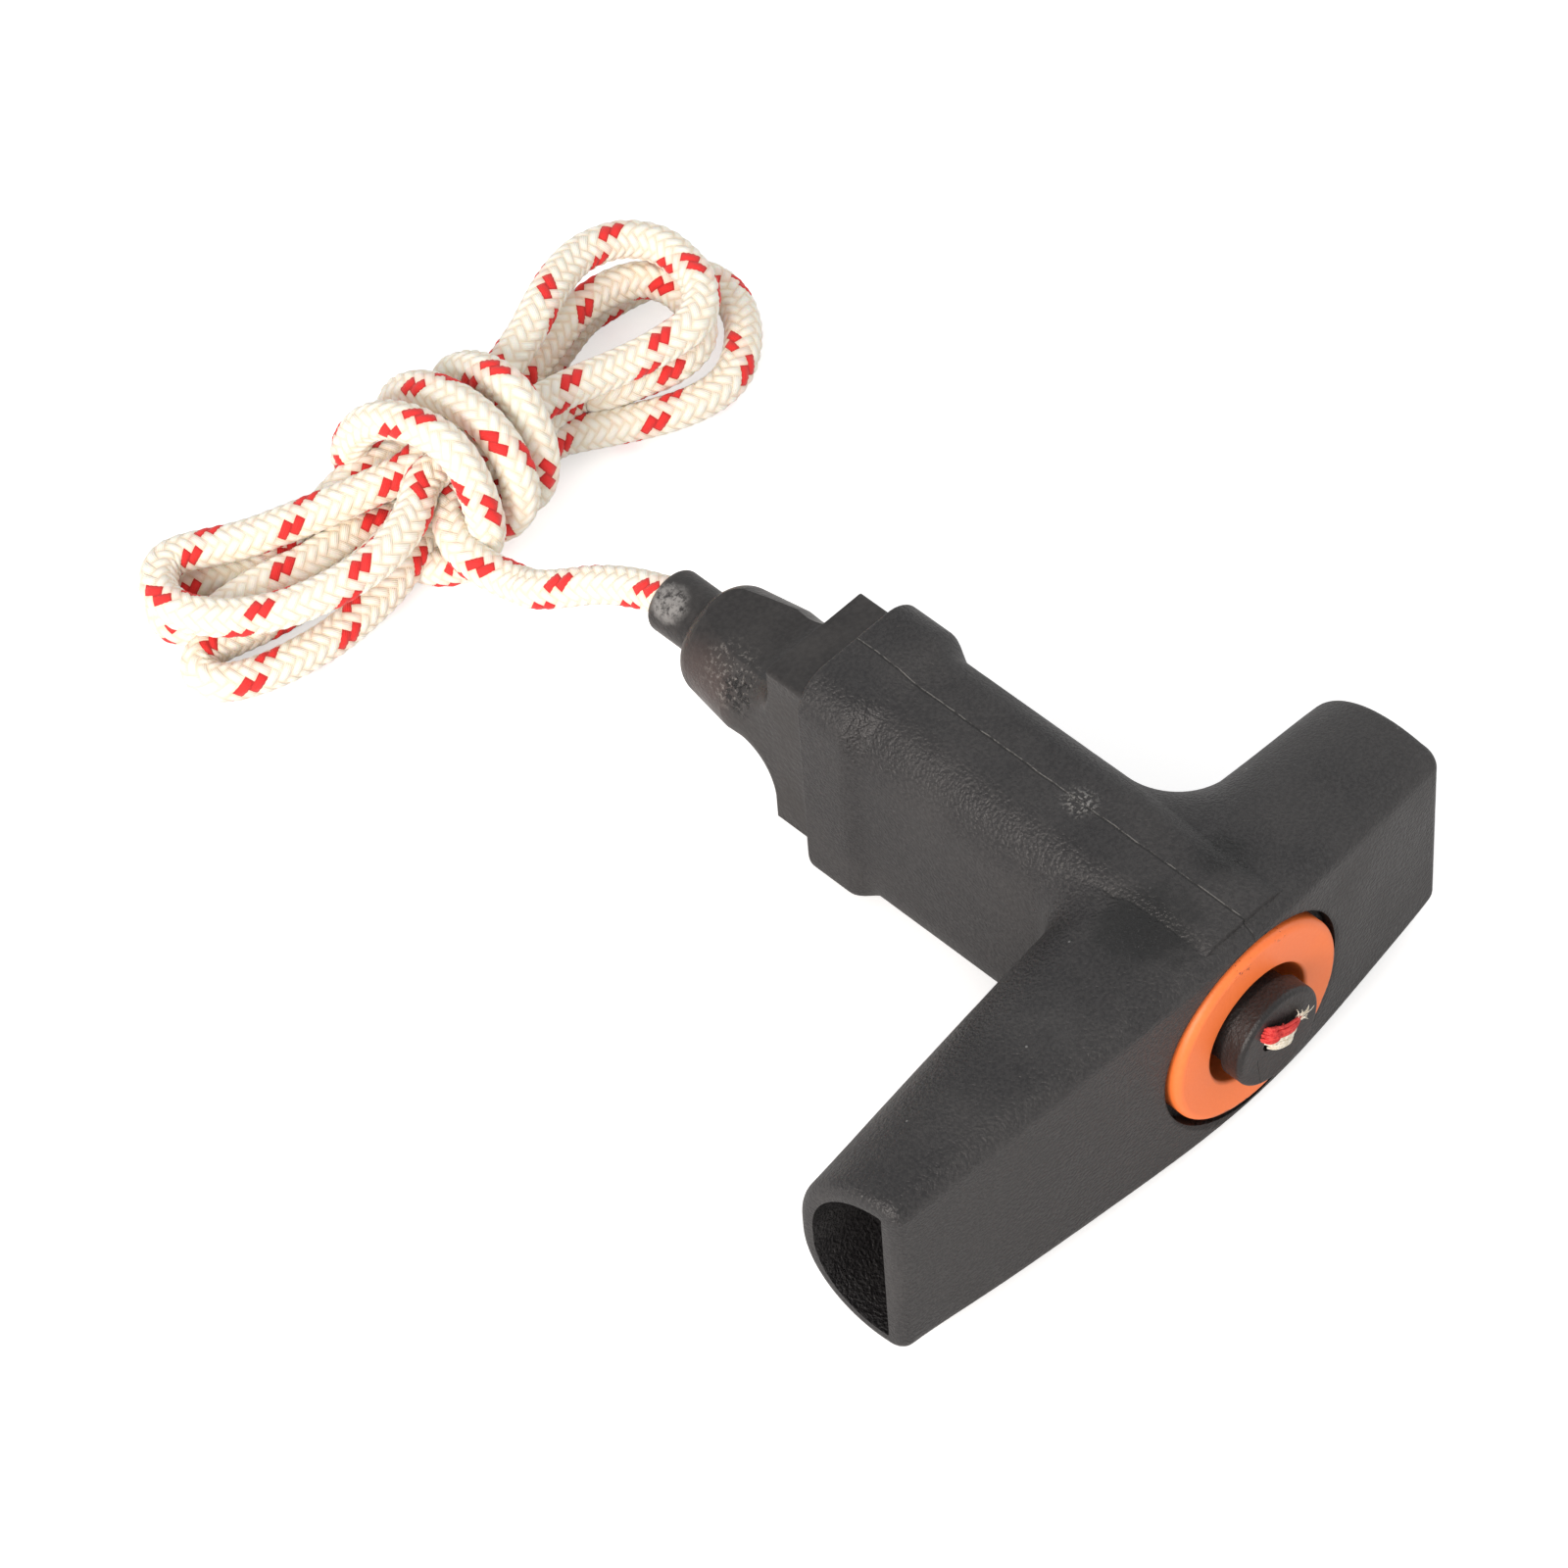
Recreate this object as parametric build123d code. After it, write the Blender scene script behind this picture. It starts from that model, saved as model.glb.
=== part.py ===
"""Recoil starter handle: a moulded T grip with a spring damper on its rope.

The rope runs along Y. It is anchored in a plunger that shows at the back of the grip,
passes through the damper spring and the rubber nozzle, and ends in a tied hank.
Pieces are drawn about the rope's axis, with the guide sleeve's face at Y = 0, and are
then moved so that the origin is the middle of the grip's underside, on the floor.
"""
from build123d import *
from math import atan2, cos, hypot, pi, radians, sin, sqrt, tan
import os

# Rope
rope_diameter = 4.5
rope_clearance = 0.3        # round the rope where it slides
anchor_clearance = 0.02     # round the rope where the plunger grips it

# Grip, bar: flat at the back, round in front; a D at the ends, squarer in the middle
left_reach = 48.0           # from the rope's axis to the long arm's end
right_reach = 31.2
end_half_height = 12.2
left_end_depth = 13.4
right_end_depth = 18.3      # the short arm is cut off where it is still deep
left_sweep = 3.7            # how far forward the back face has come at that end
right_sweep = 2.5
middle_half_height = 14.9
middle_depth = 19.2
middle_back = 0.5           # the back face lies this far in front of the sleeve's face
bend_length = 14.0          # how gently the back face turns from one arm to the other
middle_round = 0.41, 0.54   # the front rounding, as shares of the depth and the half height
end_front_round = 0.8, 0.92
back_corner = 2.2
end_slant = 5.0             # degrees: the ends reach further out in front
end_round = 1.5
arm_wall = 2.1
arm_floor = 16.0            # the hollows stop this far from the rope's axis

# Grip, stem and collar
stem_width = 16.8
stem_height = 31.0
stem_corner = 5.0, 7.5      # across and upward: the top is nearly an arch
stem_start = 2.0            # the stem's back end lies inside the bar
left_root_radius = 4.0      # the hollow curves between the stem and the bar
right_root_radius = 8.5
root_top = 14.45            # they end at this height above the rope's axis
root_sink = 0.06            # their toes lie this deep in the bar
cavity_width = 10.2         # the hollow between the web and the nozzle
cavity_height = 21.6
collar_width = 18.2
collar_height = 32.4
collar_corner = 4.4, 4.8
collar_length = 5.6
collar_slope = 3.4          # the smooth rise from the stem up to the collar
collar_front = 56.0
collar_round = 0.5
seat_depth = 6.4            # of the nozzle's block in the collar

# Guide sleeve
sleeve_flange_diameter = 24.2
sleeve_flange_thickness = 2.6
sleeve_edge_round = 0.9
sleeve_mouth_round = 0.4
sleeve_barrel_diameter = 18.0
sleeve_bore = 14.3
sleeve_length = 9.0
sleeve_fit = 0.05           # radial, between the barrel and the grip
flange_gap = 0.85           # radial, round the sleeve's flange

# Plunger
head_diameter = 12.0
head_out = 2.9              # beyond the sleeve's face
head_length = 2.6
head_round = 0.6
anchor_wall = 1.2           # the rope ends against this wall, behind the head's face
slot_length = 5.2           # in that wall, where the rope's yarns come out
slot_width = 1.9
slot_turn = 24              # degrees, from level
neck_diameter = 10.6
stop_diameter = 17.2
stop_thickness = 2.2
stop_gap = 0.1              # between the stop and the sleeve at rest
spigot_length = 4.0
stroke = 6.0                # how far the rope can pull the plunger forward
end_clearance = 0.6         # left in front of the stop at full stroke

# Damper spring
spring_outer_diameter = 9.6
spring_wire = 1.3
spring_turns = 7
spring_clearance = 0.15     # to its spigots, at the side and at the ends
web_thickness = 2.5
web_clearance = 0.45        # round the spring where it passes the web

# Nozzle
block_width = 14.4
block_height = 24.6
block_front = 62.1
block_corner = 0.5
block_fit = 0.1             # round the block in the collar
body_base_radius = 7.15     # at the block, whose sides it meets
body_radius = 7.5
taper_start = 69.5
shoulder_radius = 6.2
shoulder_front = 78.1
shoulder_round = 3.0
flare_radius = 6.2          # the hollow curve from the round body out to the block
flare_sink = 0.12           # its toe lies this deep in the body
flare_inset = 0.02          # inside the block's sides where it meets them
flare_corner = (2.4, 3.2)   # across and upward, at the block
tip_radius = 3.75
nozzle_mouth = 84.6
tip_round = 0.9
flat_half_height = 5.95     # the flats on the body, above and below
flat_start = 67.4           # from here back the flats curve up to the block
flat_round = 5.2
nozzle_spigot_length = 4.0

# Rope outside the nozzle, set by hand from the photo: across, along, height above the floor
lead_points = [
    (0, 84.6, 16.2),
    (-0.9, 91.4, 14.9),
    (-5.8, 99.6, 11.1),
    (-7.9, 107.8, 9.0),
    (-6.0, 116.0, 9.2),
]

# The hank's two lobes seen from above, and the knot wrapped round its middle
left_lobe_outline = [
    (-2, 124.5), (-9, 125.8), (-17, 129), (-25, 135.2), (-30.5, 137.5), (-36, 134.5), (-37.7, 129), (-38.6, 123.2),
    (-37, 117.3), (-31, 114.6), (-24.4, 114.2), (-17.8, 112.3), (-10, 113.8), (-2, 114.5),
]
right_lobe_outline = [
    (6, 122.5), (13, 126.8), (19, 130), (27, 133), (34.5, 134.2), (40.5, 132), (43.4, 125), (45.8, 120.5),
    (46.3, 116.5), (42.8, 111), (37, 106.9), (30.8, 105.6), (24, 107.5), (18.3, 110.2), (12, 113.5), (6, 115.5),
]
left_lobe_tops = 14.2, 10.3     # the lobe's height at the knot and at its far end
right_lobe_tops = 16.2, 14.0
lobe_bottom = 0.7
lobe_round = 1.8
knot_middle = 2.0, 121.3, 10.7  # across, along, height
knot_length = 19.5
knot_half_depth = 13.2
knot_half_height = 9.5
knot_round = 3.0

rope_radius = rope_diameter / 2
slide_radius = rope_radius + rope_clearance
bore_radius = sleeve_barrel_diameter / 2 + sleeve_fit
spring_radius = (spring_outer_diameter - spring_wire) / 2
spigot_radius = spring_radius - spring_wire / 2 - spring_clearance
stop_back = sleeve_length + stop_gap
stop_front = stop_back + stop_thickness
chamber_end = stop_front + stroke + end_clearance
cavity_start = chamber_end + web_thickness
nozzle_seat = collar_front - seat_depth
floor_level = -collar_height / 2


def turned(radius, start, end):
    """A plain cylinder on the rope's axis, from one Y to another."""
    middle = (start + end) / 2
    return Pos(0, middle, 0) * Rot(90, 0, 0) * Cylinder(radius, end - start)


def along_rope(width, height, corner, start, end):
    """A rounded rectangle drawn along the rope's axis."""
    plane = Plane(origin=(0, start, 0), x_dir=(-1, 0, 0), z_dir=(0, 1, 0))
    return extrude(plane * RectangleRounded(width, height, corner), end - start)


def soft_rectangle(width, height, corner):
    """An upright rectangle with elliptical corners: the corner is given across and upward."""
    across, upward = corner
    x, y = width / 2, height / 2
    inner_x, inner_y = x - across, y - upward
    outline = Curve() + [
        Line((-inner_x, y), (inner_x, y)),
        EllipticalCenterArc((inner_x, inner_y), across, upward, start_angle=0, arc_size=90),
        Line((x, inner_y), (x, -inner_y)),
        EllipticalCenterArc((inner_x, -inner_y), across, upward, start_angle=-90, arc_size=90),
        Line((inner_x, -y), (-inner_x, -y)),
        EllipticalCenterArc((-inner_x, -inner_y), across, upward, start_angle=180, arc_size=90),
        Line((-x, -inner_y), (-x, inner_y)),
        EllipticalCenterArc((-inner_x, inner_y), across, upward, start_angle=90, arc_size=90),
    ]
    return make_face(outline)


def across_rope(start):
    """The plane across the rope's axis at a Y."""
    return Plane(origin=(0, start, 0), x_dir=(-1, 0, 0), z_dir=(0, 1, 0))


def reach(x):
    """How far out along an arm x is, as a share: it starts gently, then rises evenly."""
    limit = left_reach if x < 0 else right_reach
    return (hypot(x, bend_length) - bend_length) / (hypot(limit, bend_length) - bend_length)


def bar_sizes(x):
    """The bar's back face, depth and half height at x."""
    share = reach(x)
    sweep = left_sweep if x < 0 else right_sweep
    end_depth = left_end_depth if x < 0 else right_end_depth
    back = middle_back + sweep * share
    depth = middle_depth + (end_depth - middle_depth) * share
    half = middle_half_height + (end_half_height - middle_half_height) * share
    return back, depth, half


def front_round(x, depth, half):
    """The front rounding's depth and height at x."""
    share = reach(x)
    deep = middle_round[0] + (end_front_round[0] - middle_round[0]) * share
    high = middle_round[1] + (end_front_round[1] - middle_round[1]) * share
    return deep * depth, high * half


def bar_section(x, slant, inset):
    """The section of the bar at x, smaller all round by inset."""
    back, depth, half = bar_sizes(x)
    deep, high = front_round(x, depth, half)
    back += inset
    depth -= 2 * inset
    half -= inset
    deep -= inset
    high -= inset
    flat = depth - deep
    corner = max(back_corner - inset, 0.3)
    plane = Plane(origin=(x, back, 0), x_dir=(sin(slant), cos(slant), 0), z_dir=(cos(slant), -sin(slant), 0))
    outline = Curve() + [
        Line((0, half), (0, -half)),
        Line((0, -half), (flat, -half)),
        EllipticalCenterArc((flat, high - half), deep, high, start_angle=-90, arc_size=90),
        Line((depth, high - half), (depth, half - high)),
        EllipticalCenterArc((flat, half - high), deep, high, start_angle=0, arc_size=90),
        Line((flat, half), (0, half)),
    ]
    face = make_face(outline)
    corners = face.vertices().sort_by(Axis.X)[:2]
    return plane * fillet(corners, corner)


def bar_stations(start, end, count):
    """Places for sections from start to end, with the slant growing towards the ends."""
    for i in range(count + 1):
        x = start + (end - start) * i / count
        slant = radians(end_slant) * reach(x)
        yield x, -slant if x < 0 else slant


def bar():
    """The cross bar, as a smooth loft from end to end."""
    sections = [bar_section(x, s, 0) for x, s in bar_stations(-left_reach, 0, 4)]
    sections += [bar_section(x, s, 0) for x, s in list(bar_stations(0, right_reach, 3))[1:]]
    return loft(sections)


def arm_hollow(limit):
    """The hollow of one arm, open at its end."""
    side = -1 if limit < 0 else 1
    sections = [bar_section(x, s, arm_wall) for x, s in bar_stations(side * arm_floor, limit, 3)]
    mouth = sections[-1]
    return loft(sections) + extrude(mouth, side * 2 * end_round)


def collar():
    """The band round the stem's front, with a smooth rise behind it."""
    back = collar_front - collar_length
    band = extrude(across_rope(back) * soft_rectangle(collar_width, collar_height, collar_corner), collar_length)
    front_edges = band.edges().group_by(Axis.Y)[-1]
    band = fillet(front_edges, collar_round)
    rise = []
    for i in range(7):
        share = (1 - cos(pi * i / 6)) / 2
        width = stem_width + (collar_width - stem_width) * share
        height = stem_height + (collar_height - stem_height) * share
        corner = [low + (high - low) * share for low, high in zip(stem_corner, collar_corner)]
        rise.append(across_rope(back - collar_slope * (1 - i / 6)) * soft_rectangle(width, height, corner))
    return band + loft(rise)


def bar_front(x, z):
    """The Y of the bar's front surface at a place on it."""
    back, depth, half = bar_sizes(x)
    deep, high = front_round(x, depth, half)
    over = min(max(0, abs(z) - (half - high)), high)
    return back + depth - deep + deep * sqrt(1 - (over / high) ** 2)


def root_slice(side, z):
    """A level slice of the hollow curve from the bar up to the stem's side."""
    across, upward = stem_corner
    over = max(0, abs(z) - (stem_height / 2 - upward))
    drawn_in = across * (1 - sqrt(1 - (over / upward) ** 2))
    wall = stem_width / 2 - drawn_in
    widest = left_root_radius if side < 0 else right_root_radius
    radius = (widest + drawn_in) * sqrt(1 - (z / root_top) ** 24)
    x = wall + radius
    for _ in range(30):
        slope = (bar_front(side * (x + 0.01), z) - bar_front(side * (x - 0.01), z)) / 0.02
        lean = -slope / hypot(1, slope)
        x = wall + radius * (1 - lean)
    toe = x, bar_front(side * x, z) - root_sink
    centre = wall + radius, toe[1] + radius * sqrt(1 - lean ** 2)
    start = atan2(toe[1] - centre[1], toe[0] - centre[0])
    half_way = (start - pi) / 2
    middle = centre[0] + radius * cos(half_way), centre[1] + radius * sin(half_way)
    plane = Plane(origin=(0, 0, z), x_dir=(side, 0, 0), z_dir=(0, 0, side))
    outline = Curve() + [
        Line((1, stem_start + 1), (toe[0], stem_start + 1)),
        Line((toe[0], stem_start + 1), toe),
        ThreePointArc(toe, middle, (wall, centre[1])),
        Line((wall, centre[1]), (1, centre[1])),
        Line((1, centre[1]), (1, stem_start + 1)),
    ]
    return plane * make_face(outline)


def stem_root(side):
    """The hollow curve on one side of the stem, as a loft of level slices."""
    upper = (0, 5, 8, 10, 11.5, 12.7, 13.4, 13.9, 14.2, 14.4)
    levels = [-z for z in reversed(upper[1:])] + list(upper)
    return loft([root_slice(side, z) for z in levels])


def rounded_end(solid, limit):
    """The solid with the rim of one arm's end rounded."""
    flat_faces = solid.faces().filter_by(GeomType.PLANE).sort_by(Axis.X)
    end_face = flat_faces[0] if limit < 0 else flat_faces[-1]
    return solid.fillet(end_round, end_face.edges())


def grip():
    """The one-piece moulding: bar, stem and collar, with every hollow."""
    stem_length = collar_front - collar_length - stem_start
    stem = extrude(across_rope(stem_start) * soft_rectangle(stem_width, stem_height, stem_corner), stem_length)
    solid = bar()
    for limit in (-left_reach, right_reach):
        solid = rounded_end(solid, limit)
    solid += stem
    solid += stem_root(-1)
    solid += stem_root(1)
    solid += collar()
    for limit in (-left_reach, right_reach):
        solid -= arm_hollow(limit)
    pocket_radius = sleeve_flange_diameter / 2 + flange_gap
    solid -= turned(pocket_radius, -5, sleeve_flange_thickness)
    solid -= turned(bore_radius, 0, chamber_end)
    solid -= turned(spring_outer_diameter / 2 + web_clearance, 0, cavity_start + 1)
    solid -= along_rope(cavity_width, cavity_height, 1.0, cavity_start, nozzle_seat)
    socket = block_width + 2 * block_fit, block_height + 2 * block_fit, block_corner
    solid -= along_rope(*socket, nozzle_seat, collar_front + 1)
    return solid


def guide_sleeve():
    """The bright plastic sleeve the plunger runs in, with the flange seen at the back."""
    flange = turned(sleeve_flange_diameter / 2, 0, sleeve_flange_thickness)
    flange = fillet(flange.edges().group_by(Axis.Y)[0], sleeve_edge_round)
    sleeve = flange + turned(sleeve_barrel_diameter / 2, 0, sleeve_length)
    sleeve -= turned(sleeve_bore / 2, -1, sleeve_length + 1)
    mouth = sleeve.edges().filter_by(GeomType.CIRCLE).group_by(Axis.Y)[0].sort_by(SortBy.RADIUS)[0]
    return fillet(mouth, sleeve_mouth_round)


def plunger():
    """The piece the rope is anchored in: head, neck, stop and the spring's spigot."""
    back = -head_out
    head = turned(head_diameter / 2, back, back + head_length)
    head = fillet(head.edges().group_by(Axis.Y)[0], head_round)
    piece = head + turned(neck_diameter / 2, back + head_length, stop_back)
    piece += turned(stop_diameter / 2, stop_back, stop_front)
    piece += turned(spigot_radius, stop_front, stop_front + spigot_length)
    piece -= turned(rope_radius + anchor_clearance, back + anchor_wall, stop_front + spigot_length + 1)
    slot = along_rope(slot_length, slot_width, slot_width * 0.45, back - 1, back + anchor_wall + 0.1)
    return piece - Rot(0, slot_turn, 0) * slot


def damper_spring():
    """The compression spring between the plunger's stop and the nozzle."""
    start = stop_front + spring_clearance + spring_wire / 2
    end = nozzle_seat - spring_clearance - spring_wire / 2
    coil = Helix((end - start) / spring_turns, end - start, spring_radius)
    wire = Plane(origin=coil @ 0, z_dir=coil % 0) * Circle(spring_wire / 2)
    return Pos(0, start, 0) * Rot(-90, 0, 0) * sweep(wire, path=coil)


def nozzle_body():
    """The round body in front of the block, with its shoulder rounded."""
    outline = Polyline(
        (0, block_front),
        (body_base_radius, block_front),
        (body_radius, taper_start),
        (shoulder_radius, shoulder_front),
        (0, shoulder_front),
        close=True,
    )
    body = revolve(make_face(outline), Axis.Y)
    return fillet(body.edges().sort_by(Axis.Y)[-1], shoulder_round)


def nozzle_flare():
    """The hollow curve from the round body out to the block, as a loft of sections."""
    share = flare_radius / (taper_start - block_front)
    toe = body_base_radius + (body_radius - body_base_radius) * share - flare_sink
    half_width = block_width / 2 - flare_inset
    half_height = block_height / 2 - flare_inset
    sections = []
    for i in range(6):
        angle = pi / 2 * i / 5
        swell = 1 - cos(angle)
        width = toe + (half_width - toe) * sin(angle)
        height = toe + (half_height - toe) * swell
        corner = [0.97 * toe + (end - 0.97 * toe) * swell for end in flare_corner]
        plane = across_rope(block_front + flare_radius * (1 - sin(angle)))
        sections.append(plane * soft_rectangle(2 * width, 2 * height, corner))
    return loft(sections)


def flat_cutter():
    """What the upper flat takes off the body, with a round where it starts."""
    top = block_height / 2 + 1
    outline = Curve() + [
        Line((0, flat_start - flat_round, top), (0, flat_start - flat_round, flat_half_height + flat_round)),
        ThreePointArc(
            (0, flat_start - flat_round, flat_half_height + flat_round),
            (0, flat_start - flat_round * sqrt(0.5), flat_half_height + flat_round * (1 - sqrt(0.5))),
            (0, flat_start, flat_half_height),
        ),
        Line((0, flat_start, flat_half_height), (0, nozzle_mouth, flat_half_height)),
        Line((0, nozzle_mouth, flat_half_height), (0, nozzle_mouth, top)),
        Line((0, nozzle_mouth, top), (0, flat_start - flat_round, top)),
    ]
    return extrude(make_face(outline), block_width, dir=(1, 0, 0), both=True)


def nozzle():
    """The rubber nozzle: block, round body with two flats, rounded shoulder, tip and rear spigot."""
    cutter = flat_cutter()
    body = nozzle_body() + nozzle_flare()
    body -= cutter
    body -= mirror(cutter, Plane.XY)
    tip = turned(tip_radius, block_front, nozzle_mouth)
    tip = fillet(tip.edges().group_by(Axis.Y)[-1], tip_round)
    block = along_rope(block_width, block_height, block_corner, nozzle_seat, block_front)
    spigot = turned(spigot_radius, nozzle_seat - nozzle_spigot_length, nozzle_seat)
    piece = block + body + tip + spigot
    return piece - turned(slide_radius, nozzle_seat - nozzle_spigot_length - 1, nozzle_mouth + 1)


def rope_core():
    """The rope from its cut end in the plunger to the nozzle's mouth."""
    return turned(rope_radius, anchor_wall - head_out, nozzle_mouth)


def above_floor(points):
    """Hand-set points, with their heights turned into Z about the rope's axis."""
    return [Vector(x, y, height + floor_level) for x, y, height in points]


def tube(points):
    """A length of rope: straight runs with the widest arcs that fit between them."""
    radii = []
    for before, here, after in zip(points, points[1:], points[2:]):
        run, next_run = here - before, after - here
        turn = radians(run.get_angle(next_run))
        radii.append(0.45 * min(run.length, next_run.length) / tan(turn / 2))
    path = FilletPolyline(*points, radius=radii)
    section = Plane(origin=path @ 0, z_dir=path % 0) * Circle(rope_radius)
    solid = sweep(section, path=path)
    drawn = pi * rope_radius ** 2 * path.length
    print("tube radii", [round(r, 1) for r in radii], "volume share", round(solid.volume / drawn, 4))
    return solid


def lobe(outline, tops):
    """One side of the hank: a rounded slab that slopes down away from the knot."""
    plan = make_face(Plane.XY.offset(floor_level + lobe_bottom) * Spline(outline, periodic=True))
    slab = extrude(plan, max(tops))
    far = max(outline, key=lambda point: abs(point[0]))[0]
    across = Vector(far, 0, tops[1] - tops[0])
    upward = Vector(0, 1, 0).cross(across)
    if upward.Z < 0:
        upward = -upward
    ceiling = Plane(origin=(0, 0, floor_level + tops[0]), z_dir=upward)
    slab = split(slab, bisect_by=ceiling, keep=Keep.BOTTOM)
    by_height = slab.faces().sort_by(Axis.Z)
    return fillet(by_height[0].edges() + by_height[-1].edges(), lobe_round)


def rope_hank():
    """The tied hank as the closed outer shape of its loops and the knot round them."""
    across, along, height = knot_middle
    section = Plane(origin=(across, along, height + floor_level), x_dir=(0, 1, 0), z_dir=(1, 0, 0))
    knot = extrude(section * Ellipse(knot_half_depth, knot_half_height), knot_length / 2, both=True)
    knot = fillet(knot.edges(), knot_round)
    return lobe(left_lobe_outline, left_lobe_tops) + lobe(right_lobe_outline, right_lobe_tops) + knot


def all_pieces():
    """Every piece by name, placed with the middle of the grip's underside at the origin."""
    lead = tube(above_floor(lead_points))
    pieces = {
        "grip": grip(),
        "guide_sleeve": guide_sleeve(),
        "plunger": plunger(),
        "damper_spring": damper_spring(),
        "nozzle": nozzle(),
        "rope_core": rope_core(),
    }
    boxes = [piece.bounding_box() for piece in pieces.values()]
    middle_x = (min(box.min.X for box in boxes) + max(box.max.X for box in boxes)) / 2
    middle_y = (min(box.min.Y for box in boxes) + max(box.max.Y for box in boxes)) / 2
    print("moved by", round(-middle_x, 3), round(-middle_y, 3), round(-floor_level, 3))
    pieces["rope_lead"] = lead - pieces["rope_core"]
    pieces["rope_hank"] = rope_hank() - lead
    return {name: Pos(-middle_x, -middle_y, -floor_level) * piece for name, piece in pieces.items()}


if __name__ == "__main__":
    os.makedirs("parts", exist_ok=True)
    for name, piece in all_pieces().items():
        box = piece.bounding_box()
        print(name, len(piece.solids()), piece.is_valid, round(piece.volume), box.min, box.max)
        export_step(piece, f"parts/{name}.step")
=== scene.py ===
# %% [markdown]
# # Recoil starter handle
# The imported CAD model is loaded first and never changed. This file dresses it: it sets the
# camera and the light of the photograph, lays the rope, and gives every piece its finish.

# %% Load the frame
import bmesh
import bpy
import random
from math import cos, pi, radians, sin
from mathutils import Matrix, Vector


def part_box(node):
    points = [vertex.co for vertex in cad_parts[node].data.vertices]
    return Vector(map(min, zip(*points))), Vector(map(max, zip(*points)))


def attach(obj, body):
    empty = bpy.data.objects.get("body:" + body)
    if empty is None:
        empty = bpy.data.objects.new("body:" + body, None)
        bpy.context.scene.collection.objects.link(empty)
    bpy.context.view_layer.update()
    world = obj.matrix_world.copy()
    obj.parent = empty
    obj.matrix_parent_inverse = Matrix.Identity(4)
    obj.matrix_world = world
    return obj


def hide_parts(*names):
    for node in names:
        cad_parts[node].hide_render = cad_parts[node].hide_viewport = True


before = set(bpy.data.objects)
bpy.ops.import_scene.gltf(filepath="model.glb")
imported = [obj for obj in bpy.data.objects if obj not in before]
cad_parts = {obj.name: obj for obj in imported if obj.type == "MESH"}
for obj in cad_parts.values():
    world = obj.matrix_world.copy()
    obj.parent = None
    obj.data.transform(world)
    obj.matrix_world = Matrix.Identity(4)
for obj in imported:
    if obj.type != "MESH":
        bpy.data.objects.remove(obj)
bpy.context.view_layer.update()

# %% [markdown]
# Everything is placed about the rope's axis, in millimetres: X along the bar, Y along the rope
# from the guide sleeve's face, and height above the floor. One helper turns such a place into the
# frame's metres, so no number is typed twice and the scene follows the CAD if it moves.

# %% Places about the rope's axis
sleeve_low, sleeve_high = [Vector(corner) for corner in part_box("guide_sleeve")]
axis_x = (sleeve_low.x + sleeve_high.x) / 2
face_y = sleeve_low.y
axis_height = (sleeve_low.z + sleeve_high.z) / 2


def place(x, y, height):
    """Millimetres about the rope's axis, with the height above the floor, as metres in the frame."""
    return Vector((axis_x + x / 1000, face_y + y / 1000, height / 1000))


print("rope axis", round(axis_x, 5), round(face_y, 5), round(axis_height, 5))

# %% [markdown]
# The photograph was taken from a long way off with a long lens, so there is little perspective.
# The camera's direction, tilt and distance were worked out from the sleeve's ellipse and the bar's
# edges. It looks down on the back of the grip, from the left.

# %% Camera
camera_azimuth = radians(-41.907)
camera_elevation = radians(51.282)
camera_roll = radians(-4.779)
camera_distance = 0.69616
aim_in_photo = (1276.601, 1038.258)     # where the sleeve's middle lies in the 1600 by 1600 frame
photo_size = 1600
focal_pixels = 7000

backward = Vector((sin(camera_azimuth) * cos(camera_elevation),
                   -cos(camera_azimuth) * cos(camera_elevation), sin(camera_elevation)))
level_right = Vector((cos(camera_azimuth), sin(camera_azimuth), 0))
level_up = backward.cross(level_right)
rightward = level_right * cos(camera_roll) + level_up * sin(camera_roll)
upward = backward.cross(rightward)
aim_right = (aim_in_photo[0] - photo_size / 2) / focal_pixels * camera_distance
aim_down = (aim_in_photo[1] - photo_size / 2) / focal_pixels * camera_distance
sleeve_middle = place(0, 1.0, axis_height * 1000)
camera_place = sleeve_middle + backward * camera_distance - rightward * aim_right + upward * aim_down

camera_data = bpy.data.cameras.new("camera")
camera_data.sensor_width = 36
camera_data.lens = focal_pixels / photo_size * camera_data.sensor_width
camera = bpy.data.objects.new("camera", camera_data)
turn = Matrix((rightward, upward, backward)).transposed()
camera.matrix_world = Matrix.Translation(camera_place) @ turn.to_4x4()
bpy.context.collection.objects.link(camera)
bpy.context.scene.camera = camera
print("camera at", [round(value, 4) for value in camera_place])

# %% [markdown]
# The rope is one length of 4.5 mm braided cord. It leaves the nozzle, runs to the hank, and is
# folded into three loops on each side, with the end wound three times round the middle. Each group
# of points below is one of those strands, read from the photograph. A NURBS spline smooths them.

# %% The rope's route, in millimetres
rope_diameter = 4.5
lead = [
    (0, 84.6, 16.2), (-0.7, 91.2, 14.3), (-5.6, 99.4, 10.4), (-5.3, 102.9, 8.3), (-6.8, 109.5, 8.5),
    (-5.2, 114.3, 9.3), (-1.5, 117.2, 9.2), (3, 118.4, 8.8), (9.5, 119, 7),
]
right_middle_loop = [
    (19.4, 120.4, 5.8), (21.7, 117.9, 6), (26, 116.2, 6), (29.8, 114.8, 6), (33.6, 115.1, 5.7),
    (36.2, 116.7, 5.9), (37.6, 119.3, 6.8), (37.5, 122.4, 7.7), (35.9, 125.5, 8.1), (32.1, 127.4, 8),
    (27.5, 127.6, 8), (24.4, 127.1, 7.9), (6, 122.4, 7.2), (-1, 126.0, 9.4),
]
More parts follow.
